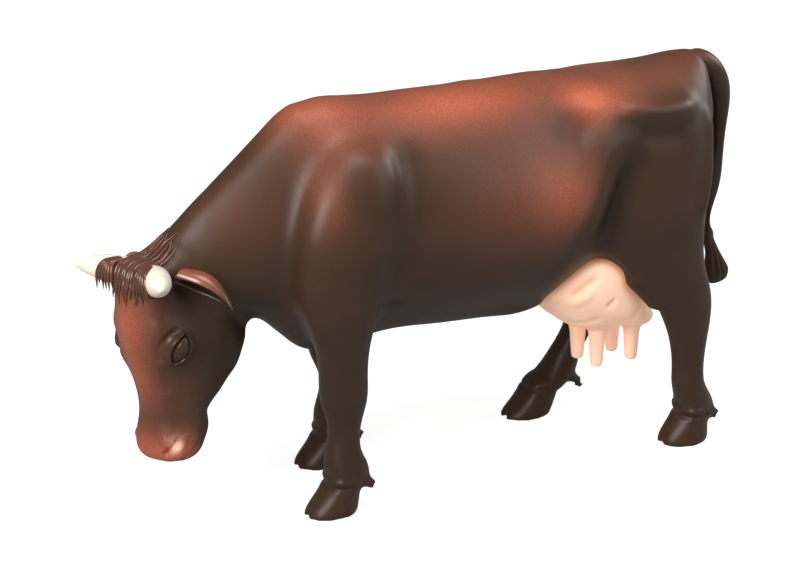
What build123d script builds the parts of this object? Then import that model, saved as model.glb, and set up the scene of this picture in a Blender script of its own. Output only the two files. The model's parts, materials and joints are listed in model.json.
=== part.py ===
# A grazing cow figurine, moulded as hollow halves that are glued together.
# The cow faces -X, its left side is at -Y, and its hooves stand on Z = 0.
# Lengths are in millimetres and angles in degrees.
# Names that end in share or shares are fractions of the size that they follow.
import os
from dataclasses import dataclass
from math import cos, radians, sin

from build123d import *

# Trunk: chest to the back of the rump, ground to the withers, side to side at the barrel
trunk_length = 115.0
withers_height = 94.0
barrel_width = 45.0

# Mouldings: wall, glued fit of plugs and pins, and the posts that line up the two body halves
wall = 2.0
glue_gap = 0.05
overrun = 1.0
post_diameter = 4.4
post_pin_diameter = 2.2
post_pin_length = 3.0

# Neck: its end at the poll, from the chest and the ground, and the collar that the head slides over
poll_reach = 24.0
poll_height = 64.8
neck_width = 19.5
collar_length = 4.0

# Head: hangs almost straight down, turned to the cow's left and rolled a little to its right
head_length = 47.2
head_depth = 25.5
head_width = 20.6
head_tilt = 5.0
head_turn = 13.0
head_roll = 4.0
eye_diameter = 6.0

# Legs: distance of each pair from the ends of the trunk, spread, stride and thickness of the cannons
front_leg_inset = 15.0
hind_leg_inset = 11.0
front_stance = 25.6
hind_stance = 30.8
front_stride = 10.0
hind_stride = 25.0
cannon_depth = 8.2
cannon_breadth = 7.6
leg_pin_diameter = 2.0
leg_pin_length = 2.4

# Hooves, and the pair of dewclaws behind each fetlock
hoof_length = 12.6
hoof_width = 10.4
hoof_height = 7.6
front_hoof_reach = 2.0
hind_hoof_reach = 0.7
cleft_width = 1.0
dewclaw_length = 8.4
dewclaw_diameter = 3.2
dewclaw_drop = 34.0

# Udder with its four teats
udder_length = 35.0
udder_width = 31.0
udder_depth = 23.0
udder_clearance = 27.0
udder_inset = 14.5
teat_length = 8.6
teat_diameter = 4.8

# Horns, ears and tail, whose roots plug into the shells
horn_length = 10.6
horn_diameter = 6.6
ear_length = 17.0
ear_width = 7.6
ear_thickness = 2.4
tail_root_diameter = 6.4
tail_drop = 56.3
tail_reach = 8.8
switch_width = 6.6
switch_length = 14.0
switch_lean = 16.0

# Corners of the closed profiles of trunk, neck, head and udder
belt_share = 0.50
corner_share = 0.13

# Trunk profiles: along the trunk, top and bottom of withers height, width of barrel, crown and keel fullness
trunk_shares = [
    (0.000, 0.800, 0.490, 0.40, 0.62, 0.62),
    (0.052, 0.925, 0.420, 0.60, 0.54, 0.62),
    (0.104, 0.975, 0.370, 0.73, 0.58, 0.60),
    (0.183, 0.987, 0.372, 0.84, 0.56, 0.58),
    (0.313, 0.975, 0.386, 0.95, 0.56, 0.60),
    (0.443, 0.968, 0.376, 1.00, 0.58, 0.62),
    (0.540, 0.966, 0.364, 0.985, 0.60, 0.60),
    (0.620, 0.962, 0.378, 0.93, 0.57, 0.58),
    (0.748, 0.957, 0.440, 0.81, 0.80, 0.54),
    (0.835, 0.957, 0.505, 0.77, 0.70, 0.56),
    (0.922, 0.958, 0.595, 0.66, 0.64, 0.60),
    (0.974, 0.948, 0.675, 0.46, 0.62, 0.62),
    (1.000, 0.920, 0.760, 0.26, 0.62, 0.62),
]
withers_shares = (0.085, 0.985)

# Neck profiles: down the line from withers to poll, the throat along the trunk and up the withers, and width
neck_shares = [
    (0.00, 0.191, 0.410, 1.64),
    (0.125, 0.087, 0.390, 1.47),
    (0.41, 0.026, 0.446, 1.24),
    (0.71, -0.003, 0.474, 1.08),
    (1.00, -0.034, 0.492, 1.00),
]
neck_crown_share = 0.60
neck_keel_share = 0.62

# Head profiles: down the head, front and back of head depth, width, front and back fullness
head_shares = [
    (0.00, 0.14, 0.12, 0.38, 0.70, 0.70),
    (0.07, 0.30, 0.38, 0.74, 0.74, 0.66),
    (0.18, 0.38, 0.64, 0.88, 0.76, 0.62),
    (0.30, 0.40, 0.79, 0.95, 0.76, 0.58),
    (0.41, 0.40, 0.85, 1.00, 0.72, 0.54),
    (0.53, 0.36, 0.78, 0.90, 0.70, 0.52),
    (0.65, 0.33, 0.58, 0.76, 0.70, 0.56),
    (0.77, 0.32, 0.32, 0.69, 0.72, 0.64),
    (0.87, 0.34, 0.22, 0.73, 0.74, 0.70),
    (0.95, 0.32, 0.18, 0.72, 0.74, 0.72),
    (1.00, 0.21, 0.08, 0.50, 0.72, 0.72),
]
eye_place_shares = (0.42, 0.06, 0.76)

# Leg profiles from the top down: height up the withers, offset along the trunk, spread of the stance,
# depth and breadth of the cannon, and how much of the stride has been taken at that height
front_leg_shares = [
    (0.930, 0.058, 0.44, 1.34, 0.70, 0.00),
    (0.860, 0.040, 0.86, 2.30, 1.42, 0.00),
    (0.765, 0.014, 1.06, 2.80, 1.80, 0.00),
    (0.640, -0.010, 1.12, 2.85, 1.78, 0.10),
    (0.530, -0.010, 1.12, 2.45, 1.66, 0.40),
    (0.435, -0.006, 1.10, 1.66, 1.44, 0.75),
    (0.340, -0.002, 1.04, 1.38, 1.28, 0.98),
    (0.285, 0.000, 1.02, 1.32, 1.26, 1.05),
    (0.225, 0.002, 1.00, 0.96, 0.98, 1.08),
    (0.160, -0.002, 1.00, 1.00, 1.00, 1.06),
    (0.110, -0.004, 1.00, 1.20, 1.20, 1.02),
    (0.070, -0.012, 1.00, 1.24, 1.24, 1.00),
]
hind_leg_shares = [
    (0.905, -0.090, 0.58, 1.50, 0.76, 0.00),
    (0.860, -0.090, 0.74, 2.80, 1.40, 0.00),
    (0.790, -0.088, 0.80, 3.55, 1.70, 0.00),
    (0.680, -0.080, 0.82, 3.60, 1.78, 0.00),
    (0.565, -0.084, 0.88, 3.45, 1.70, 0.02),
    (0.468, -0.060, 0.94, 2.65, 1.46, 0.08),
    (0.394, -0.022, 0.98, 1.96, 1.20, 0.16),
    (0.320, -0.006, 1.00, 1.46, 1.06, 0.27),
    (0.225, -0.001, 1.00, 0.98, 0.98, 0.43),
    (0.160, 0.000, 1.00, 0.96, 1.00, 0.58),
    (0.110, 0.002, 1.00, 1.14, 1.18, 0.73),
    (0.070, -0.002, 1.00, 1.20, 1.22, 0.87),
]
leg_hollow_share = 0.15
front_join_share = 0.46
hind_join_share = 0.60
hoof_pin_share = 0.55
coronet_share = 0.86
cleft_share = 0.50
dewclaw_height_share = 0.102
dewclaw_side_share = 0.55
dewclaw_tip_share = 0.45

# Posts inside the body halves: along the trunk and up the withers
post_shares = [(0.20, 0.89), (0.42, 0.87), (0.66, 0.87), (0.965, 0.82), (0.30, 0.46), (0.49, 0.46)]

# Udder profiles: along the udder, bottom and top of its depth, and width; then the teats along and across it
udder_shares = [
    (0.00, 0.62, 0.72, 0.46),
    (0.18, 0.36, 0.82, 0.84),
    (0.40, 0.07, 0.98, 1.00),
    (0.62, 0.00, 0.80, 0.94),
    (0.82, -0.03, 0.44, 0.74),
    (1.00, -0.01, 0.13, 0.36),
]
udder_crown_share = 0.90
udder_keel_share = 0.66
teat_along_shares = (0.56, 0.83)
teat_side_share = 0.17
teat_tip_share = 0.62
teat_root_share = 0.50

# Tail centre line: back from the rump, down the drop, and thickness; its root's height up the withers
tail_shares = [
    (-0.50, 0.015, 0.80),
    (0.00, 0.000, 0.96),
    (0.40, 0.060, 0.92),
    (0.60, 0.200, 0.78),
    (0.56, 0.410, 0.56),
    (0.42, 0.600, 0.44),
    (0.37, 0.740, 0.40),
]
tail_root_share = 0.922

# Switch of the tail: along its length, thickness across and lengthwise
switch_shares = [
    (0.00, 0.39, 0.39),
    (0.32, 0.52, 0.46),
    (0.64, 0.84, 0.66),
    (0.88, 1.00, 0.66),
    (1.00, 0.66, 0.40),
]

# Horns: root down, forward and out on the head, then out, forward and up along the horn, and thickness
horn_place_shares = (0.10, 0.215, 0.52)
horn_shares = [
    (0.00, 0.00, 0.00, 1.00),
    (0.30, 0.16, 0.05, 1.00),
    (0.58, 0.34, 0.11, 0.80),
    (0.80, 0.56, 0.20, 0.24),
]

# Ears: root down, forward and out on the head, the ear's own direction, then width and thickness along it
ear_place_shares = (0.12, 0.05, 0.64)
ear_lie_shares = (0.74, -0.48, -0.47)
ear_spread_shares = (0.67, 0.47, 0.58)
ear_shares = [
    (0.00, 0.42, 1.30),
    (0.26, 0.80, 1.05),
    (0.50, 1.00, 0.90),
    (0.78, 0.72, 0.75),
    (1.00, 0.14, 0.50),
]

LEFT, RIGHT = -1, 1
side_words = {LEFT: "left", RIGHT: "right"}
chest_x = 0.0
rump_x = chest_x + trunk_length
udder_front_x = rump_x - udder_inset - udder_length
poll = Vector(chest_x - poll_reach, 0, poll_height)
withers = Vector(chest_x + withers_shares[0] * trunk_length, 0, withers_shares[1] * withers_height)
head_frame = Plane(origin=poll, x_dir=(0, 1, 0), z_dir=(0, 0, 1)).rotated((-head_roll, -head_tilt, head_turn))
head_middle = Plane(origin=poll, x_dir=head_frame.y_dir, z_dir=head_frame.x_dir)


@dataclass
class Leg:
    rows: list
    x: float
    side: int
    stance: float
    stride: float
    hoof_reach: float
    join_height: float

    def centre(self, row):
        x = self.x + row[1] * trunk_length + row[5] * self.stride
        return Vector(x, self.side * row[2] * self.stance / 2, row[0] * withers_height)

    def coronet(self):
        return self.centre(self.rows[-1])

    def sole(self):
        stride_left = (1 - self.rows[-1][5]) * self.stride
        return Vector(self.coronet().X + stride_left - self.hoof_reach, self.coronet().Y, 0)

    def parting(self):
        return outward(self.side, self.stance / 2)


def outward(side, offset):
    return Plane(origin=(0, side * offset, 0), x_dir=(1, 0, 0), z_dir=(0, side, 0))


def across(x):
    return Plane(origin=(x, 0, 0), x_dir=(0, 1, 0), z_dir=(1, 0, 0))


def profile_points(half_width, high, low, crown_share, keel_share):
    reach = corner_share * (high - low)
    right = [
        (crown_share * half_width, high - reach),
        (half_width, low + belt_share * (high - low)),
        (keel_share * half_width, low + reach),
    ]
    left = [(-x, y) for x, y in reversed(right)]
    return [(0, high), *right, (0, low), *left]


def profile_loft(sections):
    with BuildPart() as form:
        for plane, points in sections:
            with BuildSketch(plane):
                with BuildLine():
                    Spline(points, periodic=True)
                make_face()
        loft()
    return form.part


def ellipse_loft(sections):
    with BuildPart() as form:
        for plane, x_radius, y_radius in sections:
            with BuildSketch(plane):
                Ellipse(x_radius, y_radius)
        loft()
    return form.part


def bend_loft(centres, radii):
    sections = []
    for index, (centre, radius) in enumerate(zip(centres, radii)):
        before = centres[max(index - 1, 0)]
        after = centres[min(index + 1, len(centres) - 1)]
        sections.append((Plane(origin=centre, z_dir=after - before), radius, radius))
    return ellipse_loft(sections)


def trunk_form(inset):
    sections = []
    for along, top, bottom, width, crown, keel in trunk_shares:
        half_width = width * barrel_width / 2 - inset
        high = top * withers_height - inset
        low = bottom * withers_height + inset
        plane = across(chest_x + inset + along * (trunk_length - 2 * inset))
        sections.append((plane, profile_points(half_width, high, low, crown, keel)))
    return profile_loft(sections)


def neck_section(row, inset):
    down, along, height, width = row
    top = withers + (poll - withers) * down
    bottom = Vector(chest_x + along * trunk_length, 0, height * withers_height)
    rise = top - bottom
    plane = Plane(origin=bottom, x_dir=(0, 1, 0), z_dir=Vector(0, 1, 0).cross(rise.normalized()))
    half_width = width * neck_width / 2 - inset
    points = profile_points(half_width, rise.length - inset, inset, neck_crown_share, neck_keel_share)
    return plane, points


def neck_form(inset):
    return profile_loft([neck_section(row, inset) for row in neck_shares])


def collar_form(inset, length):
    plane, points = neck_section(neck_shares[-1], inset)
    with BuildPart() as form:
        with BuildSketch(plane.offset(overrun)):
            with BuildLine():
                Spline(points, periodic=True)
            make_face()
        extrude(amount=-length - overrun)
    return form.part


def head_form(inset):
    sections = []
    for down, front, back, width, crown, keel in head_shares:
        half_width = width * head_width / 2 - inset
        depth = inset + down * (head_length - 2 * inset)
        points = profile_points(half_width, front * head_depth - inset, inset - back * head_depth, crown, keel)
        sections.append((head_frame.offset(-depth), points))
    return profile_loft(sections)


def spigot_form(gap):
    with BuildPart() as spigot:
        add(collar_form(wall / 2 - gap, collar_length + gap))
        add(head_form(wall / 2 - gap), mode=Mode.INTERSECT)
    return spigot.part


def collar_half(side):
    with BuildPart() as collar:
        add(spigot_form(0))
        add(collar_form(wall, collar_length + overrun), mode=Mode.SUBTRACT)
        split(bisect_by=outward(side, 0), keep=Keep.TOP)
    return collar.part


def on_head(down_share, forward_share, out_share, side):
    out = side * out_share * head_width / 2
    return head_frame.from_local_coords(Vector(out, forward_share * head_depth, -down_share * head_length))


def along_head(out_share, forward_share, up_share, side):
    sideways = head_frame.x_dir * (side * out_share)
    return sideways + head_frame.y_dir * forward_share + head_frame.z_dir * up_share


def horn_form(side, gap):
    root = on_head(*horn_place_shares, side)
    centres = [root + along_head(*row[:3], side) * horn_length for row in horn_shares]
    radii = [row[3] * horn_diameter / 2 + gap for row in horn_shares]
    return bend_loft(centres, radii)


def ear_form(side, gap):
    root = on_head(*ear_place_shares, side)
    lie = along_head(*ear_lie_shares, side)
    spread = along_head(*ear_spread_shares, side)
    sections = []
    for along, width, thickness in ear_shares:
        plane = Plane(origin=root + lie * (along * ear_length), x_dir=spread, z_dir=lie)
        sections.append((plane, width * ear_width / 2 + gap, thickness * ear_thickness / 2 + gap))
    return ellipse_loft(sections)


def leg_form(leg, rows, inset):
    sections = []
    for row in rows:
        plane = Plane(origin=leg.centre(row))
        sections.append((plane, row[3] * cannon_depth / 2 - inset, row[4] * cannon_breadth / 2 - inset))
    return ellipse_loft(sections)


def leg_hollow(leg):
    return leg_form(leg, [row for row in leg.rows[1:] if row[0] > leg_hollow_share], wall)


def hoof_form(leg):
    coronet = Plane(origin=(leg.coronet().X, leg.coronet().Y, hoof_height))
    return ellipse_loft(
        [
            (Plane(origin=leg.sole()), hoof_length / 2, hoof_width / 2),
            (coronet, coronet_share * hoof_length / 2, coronet_share * hoof_width / 2),
        ]
    )


def dewclaw_form(leg, claw_side):
    side_step = claw_side * dewclaw_side_share * cannon_breadth / 2
    fetlock = leg.centre(leg.rows[-2])
    root = Vector(fetlock.X, fetlock.Y + side_step, dewclaw_height_share * withers_height)
    tip_turn = Vector(cos(radians(dewclaw_drop)), 0, -sin(radians(dewclaw_drop)))
    tip = root + tip_turn * dewclaw_length
    return bend_loft([root, tip], [dewclaw_diameter / 2, dewclaw_tip_share * dewclaw_diameter / 2])


def limb_form(leg):
    toe = leg.sole().X - hoof_length / 2
    with BuildPart() as limb:
        add(leg_form(leg, leg.rows, 0))
        add(hoof_form(leg))
        add(dewclaw_form(leg, LEFT))
        add(dewclaw_form(leg, RIGHT))
        with BuildSketch():
            with Locations((toe, leg.sole().Y)):
                Rectangle(2 * cleft_share * hoof_length, cleft_width)
        extrude(amount=hoof_height, mode=Mode.SUBTRACT)
    return limb.part


def limb_inside(leg):
    with BuildPart() as inside:
        with BuildSketch(leg.parting()):
            with Locations((leg.x, 0)):
                Rectangle(2 * trunk_length, 2 * leg.join_height)
        extrude(amount=-leg.stance)
    return inside.part


def limb_outer(leg):
    with BuildPart() as outer:
        add(limb_form(leg))
        add(limb_inside(leg), mode=Mode.SUBTRACT)
    return outer.part


def leg_rods(leg, diameter, length):
    fetlock = leg.centre(leg.rows[-2])
    hoof = Vector(leg.sole().X + hoof_length / 4, leg.sole().Y, hoof_pin_share * hoof_height)
    with BuildPart() as rods:
        for spot in (fetlock, hoof):
            with BuildSketch(Plane(origin=(spot.X, leg.sole().Y, spot.Z), z_dir=(0, leg.side, 0))):
                Circle(diameter / 2)
        extrude(amount=length)
    return rods.part


def median_rods(side, diameter, length):
    with BuildPart() as rods:
        for along, height in post_shares:
            spot = (chest_x + along * trunk_length, 0, height * withers_height)
            with BuildSketch(Plane(origin=spot, z_dir=(0, side, 0))):
                Circle(diameter / 2)
        extrude(amount=length)
    return rods.part


def post_forms(side):
    with BuildPart() as posts:
        add(median_rods(side, post_diameter, barrel_width / 2))
        add(trunk_form(wall / 2), mode=Mode.INTERSECT)
    return posts.part


def udder_form(gap):
    sections = []
    for along, bottom, top, width in udder_shares:
        half_width = width * udder_width / 2 + gap
        high = udder_clearance + top * udder_depth + gap
        low = udder_clearance + bottom * udder_depth - gap
        plane = across(udder_front_x - gap + along * (udder_length + 2 * gap))
        sections.append((plane, profile_points(half_width, high, low, udder_crown_share, udder_keel_share)))
    return profile_loft(sections)


def teat_form(along, side):
    x = udder_front_x + along * udder_length
    y = side * teat_side_share * udder_width
    root = Vector(x, y, udder_clearance + teat_root_share * teat_length)
    tip = Vector(x, y, udder_clearance - teat_length)
    return bend_loft([root, tip], [teat_diameter / 2, teat_tip_share * teat_diameter / 2])


def tail_centre(row):
    root_height = tail_root_share * withers_height
    return Vector(rump_x + row[0] * tail_reach, 0, root_height - row[1] * tail_drop)


def tail_form(gap):
    centres = [tail_centre(row) for row in tail_shares]
    return bend_loft(centres, [row[2] * tail_root_diameter / 2 + gap for row in tail_shares])


def switch_form():
    lie = Vector(sin(radians(switch_lean)), 0, -cos(radians(switch_lean)))
    sections = []
    for along, breadth, thickness in switch_shares:
        origin = tail_centre(tail_shares[-1]) + lie * (along * switch_length)
        plane = Plane(origin=origin, x_dir=(0, 1, 0), z_dir=lie)
        sections.append((plane, thickness * switch_width / 2, breadth * switch_width / 2))
    return ellipse_loft(sections)


legs = {}
for side, word in side_words.items():
    legs[f"front_{word}"] = Leg(
        rows=front_leg_shares,
        x=chest_x + front_leg_inset,
        side=side,
        stance=front_stance,
        stride=front_stride if side == RIGHT else 0,
        hoof_reach=front_hoof_reach,
        join_height=front_join_share * withers_height,
    )
    legs[f"hind_{word}"] = Leg(
        rows=hind_leg_shares,
        x=rump_x - hind_leg_inset,
        side=side,
        stance=hind_stance,
        stride=-hind_stride if side == RIGHT else 0,
        hoof_reach=hind_hoof_reach,
        join_height=hind_join_share * withers_height,
    )

pieces = {}

# Body halves: trunk, neck and the outer halves of the legs, hollow, with the posts inside
for side, word in side_words.items():
    side_legs = [leg for leg in legs.values() if leg.side == side]
    with BuildPart() as body_shell:
        add(trunk_form(0))
        add(neck_form(0))
        add(udder_form(glue_gap), mode=Mode.SUBTRACT)
        split(bisect_by=outward(side, 0), keep=Keep.TOP)
        for leg in side_legs:
            add(limb_outer(leg))
        add(trunk_form(wall), mode=Mode.SUBTRACT)
        add(neck_form(wall), mode=Mode.SUBTRACT)
        for leg in side_legs:
            add(leg_hollow(leg), mode=Mode.SUBTRACT)
            add(leg_rods(leg, leg_pin_diameter + 2 * glue_gap, leg_pin_length + glue_gap), mode=Mode.SUBTRACT)
        add(post_forms(side))
        add(collar_half(side))
        add(tail_form(glue_gap), mode=Mode.SUBTRACT)
        if side == LEFT:
            add(median_rods(RIGHT, post_pin_diameter, post_pin_length))
        else:
            bore_length = post_pin_length + glue_gap
            add(median_rods(RIGHT, post_pin_diameter + 2 * glue_gap, bore_length), mode=Mode.SUBTRACT)
    pieces[f"body_shell_{word}"] = body_shell

# Inner halves of the legs, pinned to the outer halves at fetlock and hoof
for place, leg in legs.items():
    with BuildPart() as leg_inner:
        add(limb_form(leg))
        add(limb_inside(leg), mode=Mode.INTERSECT)
        add(trunk_form(-glue_gap), mode=Mode.SUBTRACT)
        add(neck_form(-glue_gap), mode=Mode.SUBTRACT)
        add(leg_hollow(leg), mode=Mode.SUBTRACT)
        add(leg_rods(leg, leg_pin_diameter, leg_pin_length))
    pieces[f"leg_inner_{place}"] = leg_inner

# Head halves, parted on the head's own middle plane, with sockets for collar, horn and ear
neck_end = neck_section(neck_shares[-1], 0)[0]
for side, word in side_words.items():
    with BuildPart() as head_shell:
        add(head_form(0))
        with Locations(on_head(*eye_place_shares, side)):
            Sphere(eye_diameter / 2)
        split(bisect_by=neck_end, keep=Keep.BOTTOM)
        add(head_form(wall), mode=Mode.SUBTRACT)
        add(spigot_form(glue_gap), mode=Mode.SUBTRACT)
        add(horn_form(side, glue_gap), mode=Mode.SUBTRACT)
        add(ear_form(side, glue_gap), mode=Mode.SUBTRACT)
        split(bisect_by=head_middle, keep=Keep.TOP if side == RIGHT else Keep.BOTTOM)
    pieces[f"head_shell_{word}"] = head_shell

    with BuildPart() as horn:
        add(horn_form(side, 0))
    pieces[f"horn_{word}"] = horn

    with BuildPart() as ear:
        add(ear_form(side, 0))
        add(horn_form(side, glue_gap), mode=Mode.SUBTRACT)
        add(neck_form(-glue_gap), mode=Mode.SUBTRACT)
        add(spigot_form(glue_gap), mode=Mode.SUBTRACT)
    pieces[f"ear_{word}"] = ear

# Udder, trimmed where the thighs press on it
with BuildPart() as udder:
    add(udder_form(0))
    for along in teat_along_shares:
        add(teat_form(along, LEFT))
        add(teat_form(along, RIGHT))
    for leg in (legs["hind_left"], legs["hind_right"]):
        add(leg_form(leg, leg.rows, -glue_gap), mode=Mode.SUBTRACT)
pieces["udder"] = udder

# Tail with its switch
with BuildPart() as tail:
    add(tail_form(0))
    add(switch_form())
pieces["tail"] = tail

# The origin is the middle of the ground that the whole cow covers
cover = Compound([piece.part for piece in pieces.values()]).bounding_box()
stand = Location((-cover.center().X, -cover.center().Y, 0))
os.makedirs("parts", exist_ok=True)
for name, piece in pieces.items():
    piece.part.label = name
    piece.part.move(stand)
    export_step(piece.part, f"parts/{name}.step")
    print(name, len(piece.part.solids()), round(piece.part.volume), piece.part.is_valid)
print("chest to origin", cover.center().X, "cover", cover.size)
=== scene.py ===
import json
import math

import bmesh
import bpy
import numpy as np
from mathutils import Matrix, Vector
from mathutils.bvhtree import BVHTree

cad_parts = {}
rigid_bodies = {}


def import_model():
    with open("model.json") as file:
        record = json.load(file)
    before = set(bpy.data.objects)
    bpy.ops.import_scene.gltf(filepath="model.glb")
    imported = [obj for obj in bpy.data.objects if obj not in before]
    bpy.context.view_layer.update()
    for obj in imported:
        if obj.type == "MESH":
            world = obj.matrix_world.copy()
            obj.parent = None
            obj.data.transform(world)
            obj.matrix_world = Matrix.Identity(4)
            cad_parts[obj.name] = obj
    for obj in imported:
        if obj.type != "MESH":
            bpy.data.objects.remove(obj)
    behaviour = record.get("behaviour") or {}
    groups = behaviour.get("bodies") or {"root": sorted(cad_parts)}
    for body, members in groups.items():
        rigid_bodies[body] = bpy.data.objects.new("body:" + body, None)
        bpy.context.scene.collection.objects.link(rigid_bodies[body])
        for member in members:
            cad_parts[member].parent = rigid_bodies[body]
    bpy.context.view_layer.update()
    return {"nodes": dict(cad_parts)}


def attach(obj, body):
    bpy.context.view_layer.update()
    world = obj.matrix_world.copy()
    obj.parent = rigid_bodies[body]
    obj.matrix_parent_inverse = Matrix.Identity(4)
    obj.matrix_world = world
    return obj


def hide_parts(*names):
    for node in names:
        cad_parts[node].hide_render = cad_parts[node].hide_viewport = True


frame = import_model()
mm = 0.001  # shapes are written in millimetres, the scene is in metres
sideSigns = {"left": -1, "right": 1}
print("frame loaded:", len(frame["nodes"]), "nodes")

# The head's own axes: out to its right, forward out of the face, and up
headPose = {"poll": (-67.22, 0.0, 64.8), "roll": 4, "tilt": 5, "turn": 13}
headTurn = (
    Matrix.Rotation(math.radians(-headPose["roll"]), 3, "X")
    @ Matrix.Rotation(math.radians(-headPose["tilt"]), 3, "Y")
    @ Matrix.Rotation(math.radians(headPose["turn"]), 3, "Z")
)
headAxes = np.array([headTurn @ Vector(axis) for axis in ((0, 1, 0), (-1, 0, 0), (0, 0, 1))])
pollPlace = np.array(headPose["poll"])
downTurned = np.array([1, 1, -1])  # between places that count down and places that count up


def onHead(out, forward, down):
    return pollPlace + np.array([out, forward, -down]) @ headAxes


def onHeadSide(side, places):
    return [onHead(side * out, forward, down) for out, forward, down in places]


def headLocal(co):
    return (co - pollPlace) @ headAxes.T


def headPlaces(co):
    local = headLocal(co)
    return local[:, 0], local[:, 1], -local[:, 2]


def smoothStep(low, high, values):
    t = np.clip((np.asarray(values, float) - low) / (high - low), 0, 1)
    return t * t * (3 - 2 * t)


def bell(gap):
    return np.exp(-(gap**2))


def spot(places, centre, reach):
    # 1 at the centre, fading with distance; reach is one radius or three
    return bell(np.linalg.norm((places - np.asarray(centre)) / np.asarray(reach, float), axis=1))


def drawn(width, amount, *line):
    # one stroke of clay or paint, and the listed points that it runs through
    return {"width": width, "amount": amount, "line": line}


def curveThrough(points, steps=8):
    # a smooth line through given points
    points = np.asarray(points, float)
    ends = np.vstack([2 * points[0] - points[1], points, 2 * points[-1] - points[-2]])
    line = []
    for before, start, end, after in zip(ends[:-3], ends[1:-2], ends[2:-1], ends[3:]):
        for t in np.arange(steps) / steps:
            bend = (2 * before - 5 * start + 4 * end - after) * t**2
            twist = (3 * start - before - 3 * end + after) * t**3
            line.append(0.5 * (2 * start + (end - before) * t + bend + twist))
    return np.array(line + [points[-1]])


clayTool = {"relax": 0.6, "polish": (0.6, -0.62), "reach": 3, "taper": 0.25, "leastRun": 1e-9}


class Clay:
    # a mesh held as arrays, in millimetres, that strokes push, pull and smooth
    def __init__(self, mesh):
        self.mesh = mesh
        count = len(mesh.vertices)
        co = np.empty(count * 3, np.float32)
        mesh.vertices.foreach_get("co", co)
        self.co = co.reshape(-1, 3).astype(float) / mm
        edges = np.empty(len(mesh.edges) * 2, np.int32)
        mesh.edges.foreach_get("vertices", edges)
        first, second = edges.reshape(-1, 2).T
        ends = np.concatenate([first, second])
        order = np.argsort(ends, kind="stable")
        self.others = np.concatenate([second, first])[order]
        self.degree = np.bincount(ends, minlength=count)
        self.starts = np.concatenate([[0], np.cumsum(self.degree)[:-1]])

    def write(self):
        self.mesh.vertices.foreach_set("co", (self.co * mm).astype(np.float32).ravel())
        self.mesh.update()

    def normals(self):
        self.write()
        flat = np.empty(len(self.co) * 3, np.float32)
        self.mesh.vertex_normals.foreach_get("vector", flat)
        return flat.reshape(-1, 3).astype(float)

    def mean(self, values):
        # average of each point's neighbours
        return np.add.reduceat(values[self.others], self.starts) / self.degree[:, None]

    def curl(self):
        # how deep each point lies among its neighbours
        return ((self.mean(self.co) - self.co) * self.normals()).sum(1)

    def relax(self, rounds, weight=1.0):
        weight = np.broadcast_to(np.asarray(weight, float), len(self.co))[:, None]
        for _ in range(rounds):
            self.co += (self.mean(self.co) - self.co) * clayTool["relax"] * weight

    def polish(self, rounds):
        # smoothing that keeps the volume
        for _ in range(rounds):
            for amount in clayTool["polish"]:
                self.co += (self.mean(self.co) - self.co) * amount

    def tree(self):
        self.write()
        return BVHTree.FromPolygons(self.co.tolist(), [p.vertices[:] for p in self.mesh.polygons])

    def fromLine(self, points, reach):
        # the points within reach of a line, their distance from it, and their place along it, from 0 to 1
        low, high = points.min(0) - reach, points.max(0) + reach
        chosen = np.flatnonzero(((self.co > low) & (self.co < high)).all(1))
        co = self.co[chosen]
        gap = np.full(len(co), np.inf)
        place = np.zeros(len(co))
        count = len(points) - 1
        for index, (start, end) in enumerate(zip(points[:-1], points[1:])):
            run = end - start
            t = np.clip((co - start) @ run / max(run @ run, clayTool["leastRun"]), 0, 1)
            here = np.linalg.norm(co - start - t[:, None] * run, axis=1)
            closer = here < gap
            gap[closer] = here[closer]
            place[closer] = (index + t[closer]) / count
        return chosen, gap, place

    def stroke(self, points, width, height, taper=clayTool["taper"], direction=None):
        # raises a ridge, or with a negative height presses a groove, along a line on the surface
        chosen, gap, place = self.fromLine(curveThrough(points), clayTool["reach"] * width)
        ends = smoothStep(0, taper, place) * smoothStep(0, taper, 1 - place)
        amount = height * bell(gap / width) * ends
        along = self.normals()[chosen] if direction is None else np.asarray(direction, float)
        self.co[chosen] += along * amount[:, None]

    def dab(self, centre, size, height, direction=None):
        # a soft bump or hollow; size is one radius or three
        amount = height * spot(self.co, centre, size)
        along = self.normals() if direction is None else np.asarray(direction, float)
        self.co += along * amount[:, None]


def meshOf(bm, name):
    mesh = bpy.data.meshes.new(name)
    bm.to_mesh(mesh)
    bm.free()
    return mesh


def linked(name, mesh):
    piece = bpy.data.objects.new(name, mesh)
    bpy.context.scene.collection.objects.link(piece)
    return piece


def evaluated(source, kind=None, **settings):
    # the mesh of an object's data, after one modifier where one is named
    holder = linked("holder", source)
    if kind:
        modifier = holder.modifiers.new("made", kind)
        for key, value in settings.items():
            setattr(modifier, key, value)
    result = bpy.data.meshes.new_from_object(holder.evaluated_get(bpy.context.evaluated_depsgraph_get()))
    bpy.data.objects.remove(holder)
    return result


weldWithin = 1e-7  # metres, for the loose triangles of a node's copy


def voxelCopy(size, *nodes):
    # one skin over copies of the named nodes
    bm = bmesh.new()
    for node in nodes:
        bm.from_mesh(frame["nodes"][node].data)
    bmesh.ops.remove_doubles(bm, verts=bm.verts, dist=weldWithin)
    return evaluated(meshOf(bm, "copies"), "REMESH", mode="VOXEL", voxel_size=size * mm)


sight = {
    "lift": 0.3, "blurRounds": 8, "seenFrom": 0.5,
    "ways": ((0, -1, 0), (0, 1, 0), (0, 0, 1), (-1, 0, 0), (1, 0, 0), (0, 0, -1)),
}


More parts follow.
